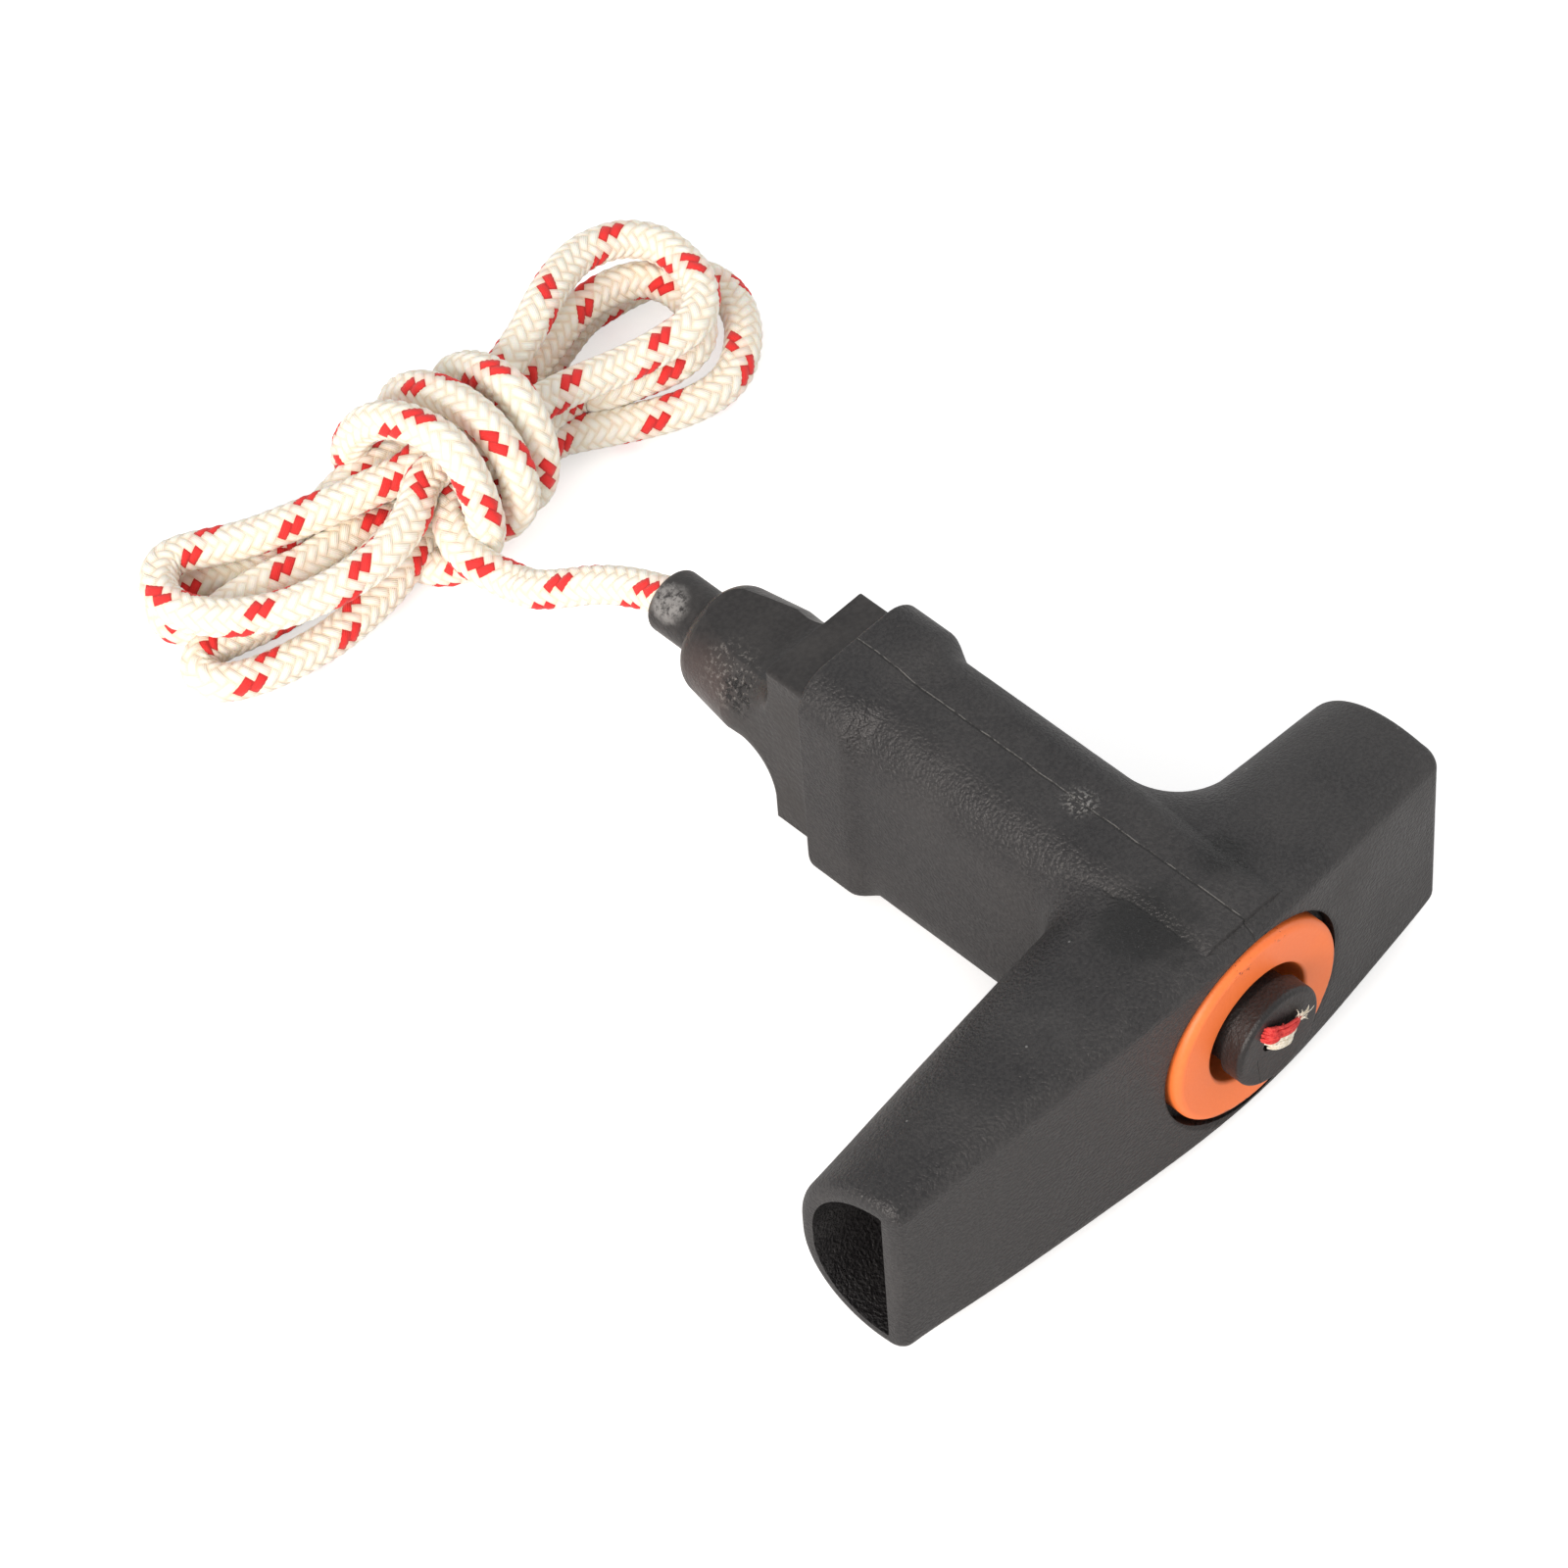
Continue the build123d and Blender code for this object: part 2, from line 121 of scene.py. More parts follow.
left_middle_loop = [
    (-7.0, 128.0, 8.6), (-13, 128.2, 6.2), (-20, 128.5, 3.8), (-23.8, 131.3, 3.4), (-27.9, 133.9, 3.2),
    (-30, 134.4, 3.2), (-31.8, 132.9, 3.1), (-32.1, 129.7, 3.5), (-29.6, 127.5, 4.4),
    (-26.9, 126.8, 5.5), (-22, 125.7, 6.1), (-17.5, 124.2, 6.2), (-11.7, 123.8, 6.2), (-8, 122.4, 6),
    (-2, 121.4, 4.6),
]
right_bottom_loop = [
    (5, 122, 3.2), (28.9, 130.1, 2.8), (32.4, 130, 2.6), (37.4, 129.3, 2.6), (42, 127.4, 2.6),
    (44, 123.5, 2.8), (43.7, 119.4, 3), (41.7, 115.5, 3.2), (38.8, 112.7, 3.2), (35.6, 110.9, 3),
    (32.5, 110.4, 3), (29.2, 111, 3), (25.6, 112.5, 3), (21.6, 115, 2.9), (17.9, 117, 3.4),
    (14.1, 118.6, 4.1), (8, 117.2, 4), (1, 117, 4),
]
left_bottom_loop = [
    (-5, 118.8, 4.8), (-10.4, 117.1, 4), (-14.2, 116.6, 3.4), (-20.8, 116.5, 2.9), (-26, 117.3, 3),
    (-30, 118.4, 3), (-33.6, 120.3, 3), (-34.9, 122.7, 3), (-34.2, 124.7, 3), (-31.9, 125.7, 3),
    (-28.6, 124.8, 3), (-24.6, 123.5, 3.1), (-20, 122.2, 3.8), (-14, 120, 4.6), (-8, 119.8, 6),
    (-2, 120.4, 9), (4, 122.2, 11.4),
]
right_top_loop = [
    (17.6, 125.1, 13.6), (20.1, 126.1, 14.1), (24.7, 128.1, 14.1), (29.9, 129.6, 13.6),
    (33.8, 128.9, 13.2), (36.3, 127.6, 12.8), (38.3, 124.7, 12.4), (38.3, 121.2, 12.2),
    (37.5, 117.7, 12), (35.6, 115.3, 11.6), (32.6, 114, 11.2), (29.8, 114.5, 10.8),
    (26.5, 115.3, 10.4), (23.4, 116.4, 10.1), (18.3, 117.9, 10.4), (13.9, 118.7, 10.7), (9, 119, 11.6),
    (2, 118.4, 12.4),
]
left_top_loop = [
    (-4, 119.4, 12.7), (-7.8, 116.7, 11.9), (-12, 115.4, 11.6), (-15.3, 115.4, 11),
    (-19.1, 116.4, 10.2), (-22.6, 117.7, 9.6), (-26.2, 119.8, 9), (-29.9, 123.3, 8.3),
    (-32.4, 127.1, 8.2), (-32.9, 130.6, 8), (-31.6, 133.3, 8), (-29.2, 134.9, 8), (-26.8, 134.4, 8),
    (-23.8, 132.2, 8.2), (-20.6, 129.9, 8.6), (-17.2, 128.1, 9.2), (-13.1, 125.9, 10),
    (-8.9, 123.9, 10.8), (-4.8, 122.3, 11.4), (-3, 121.6, 12), (2, 122.8, 11.8),
]
wraps = [
    (6.6, 126.6, 8.6), (8.6, 129, 9.2), (9, 128, 12.7), (9.6, 124.3, 15.6), (9.5, 118.4, 16.9),
    (8.6, 114.5, 14.2), (7.6, 112.4, 9.9), (6.4, 113.6, 4.8), (5.6, 117.5, 2.6), (4.6, 123.6, 2.5),
    (2.6, 129.4, 4.6), (1.9, 131, 9), (2.8, 129.7, 13.5), (3.6, 125.1, 16.6), (4, 117.9, 17.3),
    (3.6, 112.8, 14.8), (3, 110.7, 9.9), (1.8, 112.6, 5), (0.2, 117.5, 2.6), (-2, 123.6, 2.5),
    (-4.0, 129, 4.6), (-5.6, 130.3, 9), (-4.8, 129.0, 13.6), (-3.6, 126.2, 17.0), (-2.2, 121.4, 18.5),
    (-1.4, 115.9, 17.6), (-2.2, 112, 13.5), (-3, 110.2, 9.4), (-4.4, 111.6, 5), (-6.5, 114.7, 2.9),
    (-8, 118.6, 2.6), (-5, 122.2, 2.6),
]
route = (lead + right_middle_loop + left_middle_loop + right_bottom_loop + left_bottom_loop
         + right_top_loop + left_top_loop + wraps)
print("rope points", len(route))

# %% [markdown]
# The spline gives the line that the rope follows. Blender turns it into a bare path first, and the
# path is walked in equal steps, four to a stitch, so the braid keeps its scale on every bend. Points
# spread evenly over the spline would be simpler, but they crowd together in the tight loops.

# %% The rope's line
route_curve = bpy.data.curves.new("rope_route", "CURVE")
route_curve.dimensions = "3D"
route_curve.resolution_u = 18
spline = route_curve.splines.new("NURBS")
spline.points.add(len(route) - 1)
for point, (x, y, height) in zip(spline.points, route):
    point.co = (*place(x, y, height), 1)
spline.order_u = 3
spline.use_endpoint_u = True
route_object = bpy.data.objects.new("rope_route", route_curve)
bpy.context.collection.objects.link(route_object)
bpy.context.view_layer.update()
evaluated_route = route_object.evaluated_get(bpy.context.evaluated_depsgraph_get())
path_mesh = bpy.data.meshes.new_from_object(evaluated_route)
path = [vertex.co.copy() for vertex in path_mesh.vertices]
bpy.data.objects.remove(route_object)

strands = 8                       # strands that wind each way round the rope
stitch = 1.4625                   # mm along the rope from one strand to the next
fineness = 4                      # mesh steps to a strand, both round the rope and along it
around = fineness * strands
step = stitch / (fineness * 1000)  # metres
stations = [path[0]]
walked = 0.0
for before, after in zip(path, path[1:]):
    run = (after - before).length
    while walked + run >= step * len(stations):
        share = (step * len(stations) - walked) / run
        stations.append(before.lerp(after, share))
    walked += run
print("rope", round(walked * 1000, 1), "mm in", len(stations), "steps")

# %% [markdown]
# The cover is a braid. Eight strands wind one way and eight the other, and each passes over two and
# under two. The same rule shapes the mesh here and colours it later: a stitch is one stretch of
# strand that lies on top, plump in its middle and tucked in at its sides and ends.

# %% Height of a stitch
across_power = 2.0                # how plump a stitch is across the strand
length_power = 2.5                # and along it


def crown(share, power):
    """1 in the middle of a stretch that runs from 0 to 1, falling to 0 at both ends."""
    return 1 - abs(2 * share - 1) ** power


def stitch_height(one_way, other_way):
    """The braid's height, from 0 to 1, where two sets of strands are counted one way and the other."""
    if (one_way // 1 + other_way // 1) % 4 < 2:
        across, lengthwise = one_way % 1, (one_way // 1 + other_way) % 4 / 2
    else:
        across, lengthwise = other_way % 1, (one_way + other_way // 1) % 4 / 2 - 1
    return crown(across, across_power) * crown(lengthwise, length_power)


# %% [markdown]
# The tube starts as a flat grid, one row for each step. Its own coordinates become the UV map, in
# millimetres along the rope and in turns round it. Then every point is moved on to the rope's
# surface, and the two long edges are merged into one.

# %% Rope mesh
rope_radius = rope_diameter / 2000
braid_depth = 0.00020             # metres from a stitch's top to the bottom of the gaps
same_place = 0.000001             # metres within which two points are one
lay_turn = radians(25)            # how far the braid is turned at the nozzle
rows = len(stations) - 1
outward = (stations[1] - stations[0]).normalized()
side = outward.cross(Vector((0, 0, 1))).normalized()
side = side * cos(lay_turn) + outward.cross(side) * sin(lay_turn)
frames = []
for number, station in enumerate(stations):
    ahead = (stations[min(number + 1, rows)] - stations[max(number - 1, 0)]).normalized()
    side = (side - ahead * side.dot(ahead)).normalized()
    frames.append((station, side.copy(), ahead.cross(side)))

form = bmesh.new()
bmesh.ops.create_grid(form, x_segments=rows, y_segments=around, size=0.5)
braid_map = form.loops.layers.uv.new("braid")
counts = {vertex: (round((vertex.co.x + 0.5) * rows), round((vertex.co.y + 0.5) * around))
          for vertex in form.verts}
for face in form.faces:
    face.smooth = True
    for loop in face.loops:
        number, turned = counts[loop.vert]
        loop[braid_map].uv = (number * stitch / fineness, turned / around)
for vertex, (number, turned) in counts.items():
    station, across, upright = frames[number]
    angle = 2 * pi * turned / around
    height = stitch_height((turned + number) / fineness, (turned - number) / fineness)
    radius = rope_radius - braid_depth * (1 - height)
    vertex.co = station + (across * cos(angle) + upright * sin(angle)) * radius
bmesh.ops.remove_doubles(form, verts=form.verts, dist=same_place)
open_edges = [edge for edge in form.edges if edge.is_boundary]
bmesh.ops.holes_fill(form, edges=open_edges, sides=around + 1)
bmesh.ops.recalc_face_normals(form, faces=form.faces)
rope_mesh = bpy.data.meshes.new("rope")
form.to_mesh(rope_mesh)
form.free()
rope = bpy.data.objects.new("rope", rope_mesh)
bpy.context.collection.objects.link(rope)
print("rope mesh", len(rope_mesh.vertices), "points")

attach(rope, "rope")
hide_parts("rope_lead", "rope_hank")

# %% [markdown]
# Materials are built from small shader groups, one for each effect. These helpers keep the wiring
# short: a group is opened with named inputs and outputs, and a sum is one call.

# %% Node helpers
def new_group(name, inputs, outputs):
    """A shader group with number inputs (name: default) and typed outputs (name: type)."""
    group = bpy.data.node_groups.new(name, "ShaderNodeTree")
    for label, value in inputs.items():
        socket = group.interface.new_socket(label, in_out="INPUT", socket_type="NodeSocketFloat")
        socket.default_value = value
    for label, kind in outputs.items():
        group.interface.new_socket(label, in_out="OUTPUT", socket_type=kind)
    return group, group.nodes.new("NodeGroupInput"), group.nodes.new("NodeGroupOutput")


def wire(tree, source, target):
    """Plug a socket or a plain value into a socket."""
    if isinstance(source, bpy.types.NodeSocket):
        tree.links.new(source, target)
    else:
        target.default_value = source


def maths(tree, operation, *values):
    """One Math node; values are sockets or numbers."""
    made = tree.nodes.new("ShaderNodeMath")
    made.operation = operation
    for value, target in zip(values, made.inputs):
        wire(tree, value, target)
    return made.outputs[0]


def blend_colour(tree, share, first, second):
    """A mix of two colours; each value is a socket or a constant."""
    made = tree.nodes.new("ShaderNodeMix")
    made.data_type = "RGBA"
    wire(tree, share, made.inputs[0])
    wire(tree, first, made.inputs[6])
    wire(tree, second, made.inputs[7])
    return made.outputs[2]


def paint(tree, colour, mask, strength, mark):
    """The colour with a mark's colour over it, as strong as the mask times a share."""
    return blend_colour(tree, maths(tree, "MULTIPLY", mask, strength), colour, (*mark, 1))


def ramp(tree, value, low, high):
    """A smooth step from 0 at low to 1 at high."""
    made = tree.nodes.new("ShaderNodeMapRange")
    made.interpolation_type = "SMOOTHSTEP"
    wire(tree, value, made.inputs[0])
    wire(tree, low, made.inputs[1])
    wire(tree, high, made.inputs[2])
    return made.outputs[0]


def noise(tree, vector, scale, detail=2.0, roughness=0.5):
    """A noise texture read at vector; the scale is in waves per metre."""
    made = tree.nodes.new("ShaderNodeTexNoise")
    made.inputs["Scale"].default_value = scale
    made.inputs["Detail"].default_value = detail
    made.inputs["Roughness"].default_value = roughness
    wire(tree, vector, made.inputs["Vector"])
    return made.outputs["Fac"]


def object_place(tree):
    """The place on the object, in metres."""
    return tree.nodes.new("ShaderNodeTexCoord").outputs["Object"]


def new_material(name, **settings):
    """A material with one Principled shader and its plain values."""
    material = bpy.data.materials.new(name)
    material.use_nodes = True
    shader = material.node_tree.nodes["Principled BSDF"]
    for label, value in settings.items():
        shader.inputs[label.replace("_", " ")].default_value = value
    return material, material.node_tree, shader


def bump(tree, height, distance, strength=1.0):
    """A bump from a height between 0 and 1 and its depth in metres."""
    made = tree.nodes.new("ShaderNodeBump")
    made.inputs["Strength"].default_value = strength
    made.inputs["Distance"].default_value = distance
    wire(tree, height, made.inputs["Height"])
    return made.outputs["Normal"]


# %% [markdown]
# The braid's colours follow the same rule as its shape. Two neighbouring strands that wind the same
# way are red, so they show as a pair of leaning flecks wherever they come to the top, on four lines
# round the rope. A little of their red shines through the white stitches that cross them.

# %% Braid group
braid, inside, outside = new_group(
    "braid", {"Along": 0.0, "Round": 0.0, "Strands": float(strands), "Stitch": stitch, "Red strands": 2.0},
    {"Height": "NodeSocketFloat", "Gap_shade": "NodeSocketFloat", "Fleck": "NodeSocketFloat",
     "Tint": "NodeSocketFloat", "Yarn": "NodeSocketFloat"})
turned = maths(braid, "MULTIPLY", inside.outputs["Round"], inside.outputs["Strands"])
passed = maths(braid, "DIVIDE", inside.outputs["Along"], inside.outputs["Stitch"])
one_way = maths(braid, "ADD", turned, passed)
other_way = maths(braid, "SUBTRACT", turned, passed)
one_strand = maths(braid, "FLOOR", one_way)
other_strand = maths(braid, "FLOOR", other_way)
repeat = 4.0                      # over two and under two
both_counts = maths(braid, "ADD", one_strand, other_strand)
on_top = maths(braid, "LESS_THAN", maths(braid, "FLOORED_MODULO", both_counts, repeat), 1.5)


def crown_node(share, power):
    """The nodes that do what crown does."""
    centred = maths(braid, "MULTIPLY_ADD", share, 2.0, -1.0)
    return maths(braid, "SUBTRACT", 1.0, maths(braid, "POWER", maths(braid, "ABSOLUTE", centred), power))


def picked(when_one, when_other):
    """The value for whichever strand is on top."""
    made = braid.nodes.new("ShaderNodeMix")
    wire(braid, on_top, made.inputs[0])
    wire(braid, when_other, made.inputs[2])
    wire(braid, when_one, made.inputs[3])
    return made.outputs[0]


one_length = maths(braid, "FLOORED_MODULO", maths(braid, "ADD", one_strand, other_way), repeat)
other_length = maths(braid, "FLOORED_MODULO", maths(braid, "ADD", one_way, other_strand), repeat)
lengthwise = picked(maths(braid, "MULTIPLY", one_length, 0.5),
                    maths(braid, "MULTIPLY_ADD", other_length, 0.5, -1.0))
across = picked(maths(braid, "FRACT", one_way), maths(braid, "FRACT", other_way))
top = maths(braid, "MULTIPLY", crown_node(across, across_power), crown_node(lengthwise, length_power))
wire(braid, top, outside.inputs["Height"])
# The gap mask marks where the rope's finish paints shade between the stitches.
wire(braid, ramp(braid, top, 0.55, 0.0), outside.inputs["Gap_shade"])
yarn_count = 5
wave = maths(braid, "SINE", maths(braid, "MULTIPLY", across, 2 * pi * yarn_count))
wire(braid, maths(braid, "MULTIPLY_ADD", wave, 0.5, 0.5), outside.inputs["Yarn"])
red_shift = 3.0                   # added to a strand's number, to start the red pair as in the photo
shifted = maths(braid, "ADD", one_strand, red_shift)
own_number = maths(braid, "FLOORED_MODULO", shifted, inside.outputs["Strands"])
coloured = maths(braid, "LESS_THAN", own_number, maths(braid, "SUBTRACT", inside.outputs["Red strands"], 0.5))
wire(braid, maths(braid, "MULTIPLY", coloured, on_top), outside.inputs["Fleck"])
hidden = maths(braid, "SUBTRACT", 1.0, on_top)
wire(braid, maths(braid, "MULTIPLY", coloured, hidden), outside.inputs["Tint"])
print("braid group", len(braid.nodes), "nodes")

# %% [markdown]
# The rope's colour is a warm cream. It is painted paler on the stitches' tops, a painted highlight,
# and darker and browner towards the gaps between them, painted shade; the red flecks get the same
# painted shade in their gaps. Over many stitches the cream wanders a little, as undyed yarn does.
# Each strand is a bundle of yarns, so its top is finely ribbed along its length. Light soaks a
# little way into the fibres, so some Subsurface fills the shade between the loops with warm light,
# as a brighter colour could not.

# %% Rope finish
rope_finish, tree, shader = new_material(
    "braided rope", Roughness=0.78, Sheen_Weight=0.15, Subsurface_Weight=0.30,
    Subsurface_Radius=(1.0, 0.62, 0.42), Subsurface_Scale=0.0011)
uv_place = tree.nodes.new("ShaderNodeUVMap")
uv_place.uv_map = "braid"
parts = tree.nodes.new("ShaderNodeSeparateXYZ")
wire(tree, uv_place.outputs[0], parts.inputs[0])
weave = tree.nodes.new("ShaderNodeGroup")
weave.node_tree = braid
wire(tree, parts.outputs["X"], weave.inputs["Along"])
wire(tree, parts.outputs["Y"], weave.inputs["Round"])
shade = noise(tree, object_place(tree), 260, 3.0)
# Painted light: the cream is lighter on the stitches' tops (painted highlight) and darker towards the gaps,
# which get a brown painted shade; the red is darkened in its gaps too.
shaded_cream = blend_colour(tree, shade, (0.92, 0.80, 0.63, 1), (0.94, 0.85, 0.70, 1))
highlit_cream = blend_colour(tree, shade, (0.96, 0.90, 0.77, 1), (0.985, 0.95, 0.87, 1))
cream = blend_colour(tree, ramp(tree, weave.outputs["Height"], 0.0, 0.85), shaded_cream, highlit_cream)
tinted = paint(tree, cream, weave.outputs["Tint"], 0.16, (0.85, 0.20, 0.17))
stitch_gap_shade = paint(tree, tinted, weave.outputs["Gap_shade"], 0.09, (0.62, 0.40, 0.22))
red = paint(tree, (0.82, 0.026, 0.024, 1), weave.outputs["Gap_shade"], 0.7, (0.48, 0.012, 0.012))
wire(tree, blend_colour(tree, weave.outputs["Fleck"], stitch_gap_shade, red), shader.inputs["Base Color"])
ribbed = maths(tree, "MULTIPLY_ADD", weave.outputs["Yarn"], 0.16, weave.outputs["Height"])
wire(tree, bump(tree, ribbed, 0.00016), shader.inputs["Normal"])
rope_mesh.materials.append(rope_finish)

# %% [markdown]
# At rest the core is seen only at its cut end in the plunger, where the yarns are loose and the braid
# is gone, so its finish is a felt of cream fibres read from the place on the object.

# %% Cut rope finish
cut_finish, tree, shader = new_material("cut rope", Roughness=0.9)
fibres = noise(tree, object_place(tree), 1400, 4.0, 0.7)
felt = blend_colour(tree, ramp(tree, fibres, 0.35, 0.65), (0.55, 0.40, 0.26, 1), (0.92, 0.85, 0.72, 1))
wire(tree, felt, shader.inputs["Base Color"])
wire(tree, bump(tree, fibres, 0.0003), shader.inputs["Normal"])

# %% [markdown]
# Moulded plastic is never one flat black. It has the fine grain of a spark-eroded mould, a cloudy
# sheen where it has been rubbed, and a few pale specks of dust. One group gives all three, and each
# material sets their scales for itself.

# %% Moulded plastic group
moulded, inside, outside = new_group(
    "moulded plastic", {"Grain scale": 2600.0, "Cloud scale": 90.0},
    {"Grain": "NodeSocketFloat", "Cloud": "NodeSocketFloat", "Dust": "NodeSocketFloat"})
where = object_place(moulded)
for label, scale_input, detail, low, high in (
        ("Grain", "Grain scale", 2.0, 0.30, 0.72), ("Cloud", "Cloud scale", 5.0, 0.38, 0.66)):
    pattern = moulded.nodes.new("ShaderNodeTexNoise")
    wire(moulded, where, pattern.inputs["Vector"])
    wire(moulded, inside.outputs[scale_input], pattern.inputs["Scale"])
    pattern.inputs["Detail"].default_value = detail
    wire(moulded, ramp(moulded, pattern.outputs["Fac"], low, high), outside.inputs[label])
specks = moulded.nodes.new("ShaderNodeTexVoronoi")
specks.inputs["Scale"].default_value = 330.0
wire(moulded, where, specks.inputs["Vector"])
near_speck = ramp(moulded, specks.outputs["Distance"], 0.055, 0.03)
chosen = ramp(moulded, noise(moulded, where, 150, 1.0), 0.57, 0.62)
wire(moulded, maths(moulded, "MULTIPLY", near_speck, chosen), outside.inputs["Dust"])
print("moulded plastic group", len(moulded.nodes), "nodes")

# %% [markdown]
# Some marks belong to one place: a parting line, a gate mark, a worn patch. They are drawn from the
# place about the rope's axis, in millimetres, which a Mapping node gives. They could be painted on an
# image, but a mark made of distances and noise stays sharp at any size.


# %% Marks in their places
def axis_place(tree):
    """The place about the rope's axis, in millimetres: across, along and upward."""
    mapping = tree.nodes.new("ShaderNodeMapping")
    mapping.inputs["Location"].default_value = (-1000 * axis_x, -1000 * face_y, -1000 * axis_height)
    mapping.inputs["Scale"].default_value = (1000, 1000, 1000)
    wire(tree, object_place(tree), mapping.inputs["Vector"])
    split = tree.nodes.new("ShaderNodeSeparateXYZ")
    wire(tree, mapping.outputs[0], split.inputs[0])
    return split.outputs["X"], split.outputs["Y"], split.outputs["Z"]


def product(tree, *masks):
    """All the masks at once."""
    result = masks[0]
    for mask in masks[1:]:
        result = maths(tree, "MULTIPLY", result, mask)
    return result


def from_axis(tree, across, upward):
    """The distance from the rope's axis, in millimetres."""
    squares = [maths(tree, "POWER", maths(tree, "ABSOLUTE", value), 2.0) for value in (across, upward)]
    return maths(tree, "SQRT", maths(tree, "ADD", *squares))


def speckle(tree, scale, low, high, detail=4.0, roughness=0.7):
    """Small ragged spots, from noise read on the object."""
    return ramp(tree, noise(tree, object_place(tree), scale, detail, roughness), low, high)


def near(tree, spot, reach, rough_edge=0.0, scale=900):
    """A soft round mark at a spot about the rope's axis, with a ragged edge if asked for."""
    squares = [maths(tree, "POWER", maths(tree, "ABSOLUTE", maths(tree, "SUBTRACT", value, middle)), 2.0)
               for value, middle in zip(axis_place(tree), spot)]
    away = maths(tree, "SQRT", maths(tree, "ADD", maths(tree, "ADD", squares[0], squares[1]), squares[2]))
    if rough_edge:
        away = maths(tree, "MULTIPLY_ADD", noise(tree, object_place(tree), scale, 4.0, 0.7), rough_edge, away)
    return ramp(tree, away, reach, reach * 0.55)


def plastic(name, dark, light, roughness, rougher, grain_depth, grain_scale=2600.0, cloud_scale=90.0,
            dust=0.5, marks=None):
    """A moulded finish between two colours and two roughnesses; marks adds what is only on this piece."""
    material, tree, shader = new_material(name)
    surface = tree.nodes.new("ShaderNodeGroup")
    surface.node_tree = moulded
    surface.inputs["Grain scale"].default_value = grain_scale
    surface.inputs["Cloud scale"].default_value = cloud_scale
    half_grain = maths(tree, "MULTIPLY", surface.outputs["Grain"], 0.5)
    share = maths(tree, "MULTIPLY_ADD", surface.outputs["Cloud"], 0.5, half_grain)
    colour = blend_colour(tree, share, (*dark, 1), (*light, 1))
    pale = tuple(0.30 + 0.5 * channel for channel in light)
    colour = paint(tree, colour, surface.outputs["Dust"], dust, pale)
    rough = maths(tree, "MULTIPLY_ADD", surface.outputs["Cloud"], rougher - roughness, roughness)
    height = surface.outputs["Grain"]
    if marks:
        colour, rough, height = marks(tree, colour, rough, height)
    wire(tree, colour, shader.inputs["Base Color"])
    wire(tree, rough, shader.inputs["Roughness"])
    wire(tree, bump(tree, height, grain_depth), shader.inputs["Normal"])
    return material


# %% [markdown]
# The grip was moulded in two halves of a mould, so a parting line runs along the middle of its top.
# It is a thin dark groove with a broken pale edge beside it, and the rough mark of the gate lies on
# it. Behind the stem the top is rubbed dark on both sides of the line. Round the sleeve's pocket a
# ragged black band is painted shade of the gap between pocket and flange, with the pocket's ragged
# burr as its edge, widest on the side where the flange hides the gap from the camera.

# %% Grip marks
gap_shade_black = (0.004, 0.003, 0.003)
hidden_side = (0.47, 0.88)        # how much of the way across and downward leads to the wide side


def towards_hidden_side(tree, across, upward):
    """How far a place lies towards the pocket's lower right side, in millimetres."""
    return maths(tree, "SUBTRACT", maths(tree, "MULTIPLY", across, hidden_side[0]),
                 maths(tree, "MULTIPLY", upward, hidden_side[1]))


def grip_marks(tree, colour, rough, height):
    """The parting line, the gate mark, the rubbed patches and the painted shade at the pocket's ragged rim."""
    across, along, upward = axis_place(tree)
    wander = noise(tree, object_place(tree), 300, 3.0)
    from_line = maths(tree, "MULTIPLY_ADD", wander, 0.35, maths(tree, "SUBTRACT", across, 0.17))
    beside = maths(tree, "ABSOLUTE", maths(tree, "SUBTRACT", from_line, 0.13))
    top_only = ramp(tree, upward, 12.5, 13.5)
    broken = speckle(tree, 900, 0.42, 0.58, roughness=0.5)
    pale_line = product(tree, ramp(tree, beside, 0.13, 0.04), top_only, broken)
    dark_line = product(tree, ramp(tree, maths(tree, "ABSOLUTE", from_line), 0.12, 0.05), top_only)
    gate = near(tree, (0.1, 24.3, 15.5), 3.7, 2.4)
    gate_chips = maths(tree, "MULTIPLY", gate, speckle(tree, 2400, 0.46, 0.58, 3.0, 0.5))
    rubbed_left = near(tree, (-7.0, 8.8, 14.8), 11.0, 8.0, 260)
    rubbed_right = near(tree, (5.1, 8.9, 14.8), 7.5, 6.0, 260)
    rubbed = maths(tree, "MAXIMUM", rubbed_left, rubbed_right)
    sheen = near(tree, (-22.0, 9.0, 14.8), 12.0, 9.0, 200)
    colour = paint(tree, colour, rubbed, 0.85, (0.002, 0.002, 0.002))
    colour = paint(tree, colour, pale_line, 0.40, (0.42, 0.40, 0.38))
    colour = paint(tree, colour, dark_line, 0.80, (0.004, 0.004, 0.004))
    colour = paint(tree, colour, gate_chips, 0.55, (0.34, 0.33, 0.32))
    # Painted shade: a ragged black band round the pocket stands in for the shade in the gap between the pocket
    # and the flange.
    edge_noise = noise(tree, object_place(tree), 700, 4.0, 0.65)
    wide_side = ramp(tree, towards_hidden_side(tree, across, upward), -2.0, 11.0)
    narrow_rim = maths(tree, "MULTIPLY_ADD", edge_noise, 0.9, 12.65)
    rim_radius = maths(tree, "MULTIPLY_ADD", wide_side, 0.85, narrow_rim)
    past_rim = maths(tree, "SUBTRACT", from_axis(tree, across, upward), rim_radius)
    rim = product(tree, ramp(tree, past_rim, 0.08, -0.04), ramp(tree, along, 3.5, 3.0))
    colour = blend_colour(tree, rim, colour, (*gap_shade_black, 1))
    rough = maths(tree, "MULTIPLY_ADD", sheen, -0.14, rough)
    rough = maths(tree, "MULTIPLY_ADD", rubbed, -0.16, rough)
    height = maths(tree, "MULTIPLY_ADD", gate, maths(tree, "MULTIPLY", gate_chips, 5.0), height)
    height = maths(tree, "MULTIPLY_ADD", pale_line, 1.5, height)
    height = maths(tree, "MULTIPLY_ADD", dark_line, -2.5, height)
    return colour, rough, height
